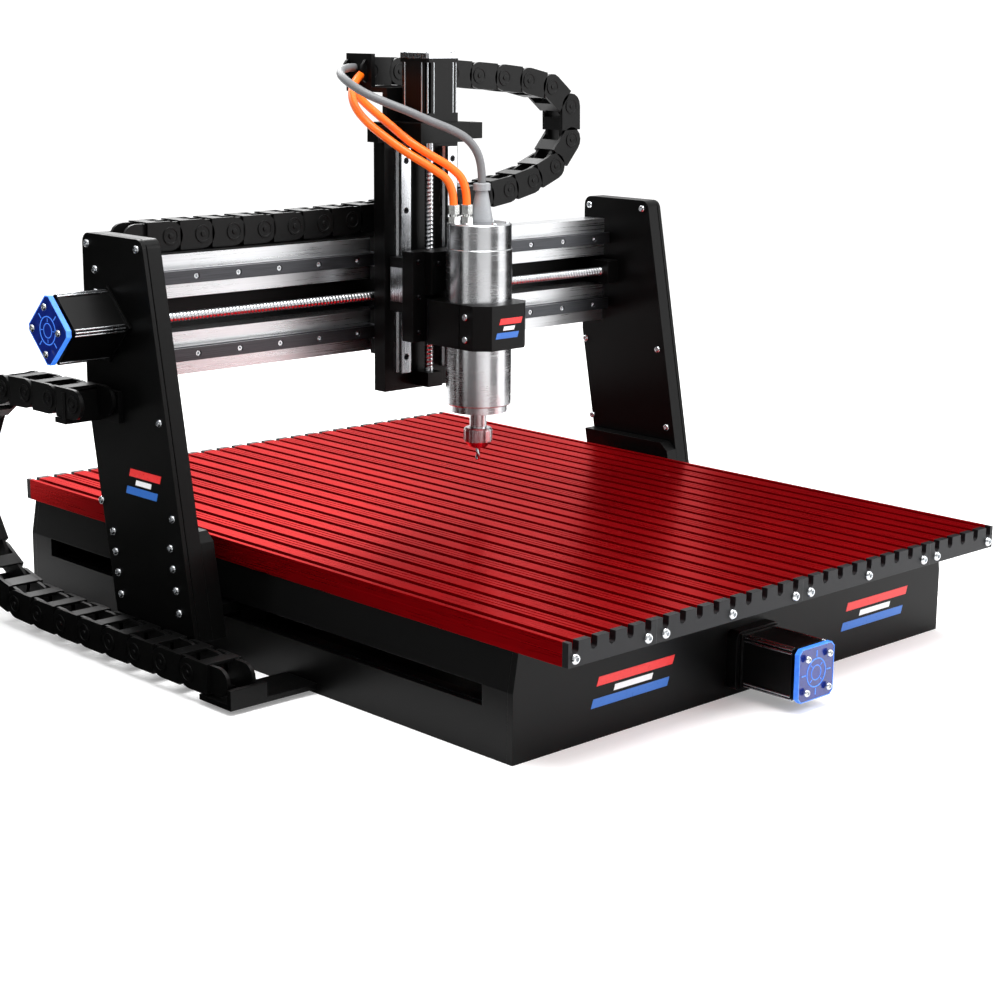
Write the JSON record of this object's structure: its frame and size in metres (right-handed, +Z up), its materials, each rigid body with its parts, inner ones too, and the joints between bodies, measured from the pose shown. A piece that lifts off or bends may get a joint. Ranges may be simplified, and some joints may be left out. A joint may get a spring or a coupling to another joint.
{
  "type": "cnc router",
  "caption": "Desktop gantry CNC router: slotted red table on a black base, moving gantry with carriage, Z axis and water-cooled spindle, cable chains and hoses.",
  "frame": {"origin": "middle of the base's underside, on the surface that the machine stands on", "axes": "+Z up, +X from the leg with the motor to the other leg, +Y from the front to the back, along the gantry's travel"},
  "size_m": [0.9196, 0.9894, 0.674],
  "materials": {
    "black_powder_coat": "satin powder coat",
    "red_anodised_aluminium": "gloss anodised",
    "black_anodised_aluminium": "satin anodised",
    "brushed_aluminium": "brushed",
    "bearing_steel": "ground",
    "zinc_plated_steel": "bright zinc",
    "bright_steel": "polished",
    "blue_acrylic": "gloss",
    "black_nylon": "matte",
    "orange_pvc": "satin",
    "grey_pvc": "satin"
  },
  "bodies": {
    "base": {"base_bottom_plate": "black_powder_coat", "base_side_left": "black_powder_coat", "base_side_right": "black_powder_coat", "base_end_panels": "black_powder_coat", "table_cross_members": "brushed_aluminium", "y_rails": "bearing_steel", "table_panel_1": "red_anodised_aluminium", "table_panel_2": "red_anodised_aluminium", "table_panel_3": "red_anodised_aluminium", "table_panel_4": "red_anodised_aluminium", "table_end_plates": "black_anodised_aluminium", "table_plate_screws": "zinc_plated_steel", "y_motor_mount": "black_powder_coat", "y_motor": "black_powder_coat", "y_motor_cover": "blue_acrylic", "y_screw_bearings": "black_powder_coat", "y_chain_floor_bracket": "black_powder_coat", "y_chain": "black_nylon"},
    "y_screw": {"y_ball_screw": "bearing_steel"},
    "gantry": {"gantry_leg_left": "black_powder_coat", "gantry_leg_right": "black_powder_coat", "leg_inner_plates": "black_powder_coat", "leg_screws": "zinc_plated_steel", "gantry_cross_plate": "black_powder_coat", "y_bearing_blocks": "bearing_steel", "y_ball_nut": "bearing_steel", "gantry_beams": "brushed_aluminium", "beam_back_plate": "black_powder_coat", "x_rails": "bearing_steel", "x_screw_bearings": "black_powder_coat", "x_motor": "black_powder_coat", "x_motor_cover": "blue_acrylic", "x_chain_tray": "black_powder_coat", "y_chain_leg_bracket": "black_powder_coat", "x_chain": "black_nylon"},
    "x_screw": {"x_ball_screw": "bearing_steel"},
    "x_carriage": {"x_bearing_blocks": "bearing_steel", "x_ball_nut": "bearing_steel", "z_back_plate": "black_powder_coat", "z_rails": "bearing_steel", "z_motor_mount": "black_powder_coat", "z_motor": "black_powder_coat", "z_screw_bearing": "black_powder_coat", "x_chain_bracket": "black_powder_coat", "coolant_hose_1": "orange_pvc", "coolant_hose_2": "orange_pvc", "spindle_cable": "grey_pvc"},
    "z_screw": {"z_ball_screw": "bearing_steel"},
    "z_carriage": {"z_bearing_blocks": "bearing_steel", "z_carriage_plate": "black_powder_coat", "z_ball_nut": "bearing_steel", "spindle_head_block": "black_powder_coat", "spindle_clamp": "black_powder_coat", "spindle_body": "bearing_steel", "spindle_cap": "bearing_steel", "hose_fittings": "brushed_aluminium", "cable_strain_relief": "grey_pvc"},
    "spindle_rotor": {"spindle_shaft": "bearing_steel", "collet_nut": "bearing_steel", "router_bit": "bright_steel"}
  },
  "joints": [
    {"name": "gantry_slide", "type": "slide", "parent": "base", "child": "gantry", "axis": [0, 1, 0], "range_m": [-0.4, 0.24], "deforming": ["y_chain"]},
    {"name": "y_screw_turn", "type": "hinge", "parent": "base", "child": "y_screw", "pos_m": [0, 0, 0.043], "axis": [0, 1, 0], "continuous": true},
    {"name": "carriage_slide", "type": "slide", "parent": "gantry", "child": "x_carriage", "axis": [1, 0, 0], "range_m": [-0.318, 0.282], "deforming": ["x_chain"]},
    {"name": "x_screw_turn", "type": "hinge", "parent": "gantry", "child": "x_screw", "pos_m": [0, 0.1505, 0.378], "axis": [1, 0, 0], "continuous": true},
    {"name": "z_slide", "type": "slide", "parent": "x_carriage", "child": "z_carriage", "axis": [0, 0, 1], "range_m": [-0.04, 0.11], "deforming": ["coolant_hose_1", "coolant_hose_2", "spindle_cable"]},
    {"name": "z_screw_turn", "type": "hinge", "parent": "x_carriage", "child": "z_screw", "pos_m": [0.016, 0.1015, 0.378], "axis": [0, 0, 1], "continuous": true},
    {"name": "spindle_spin", "type": "hinge", "parent": "z_carriage", "child": "spindle_rotor", "pos_m": [0.016, 0.0105, 0.226], "axis": [0, 0, 1], "continuous": true}
  ],
  "couplings": [
    {"joint": "y_screw_turn", "follows": "gantry_slide", "rad_per_m": 1256.6},
    {"joint": "x_screw_turn", "follows": "carriage_slide", "rad_per_m": 1256.6},
    {"joint": "z_screw_turn", "follows": "z_slide", "rad_per_m": 1256.6}
  ]
}
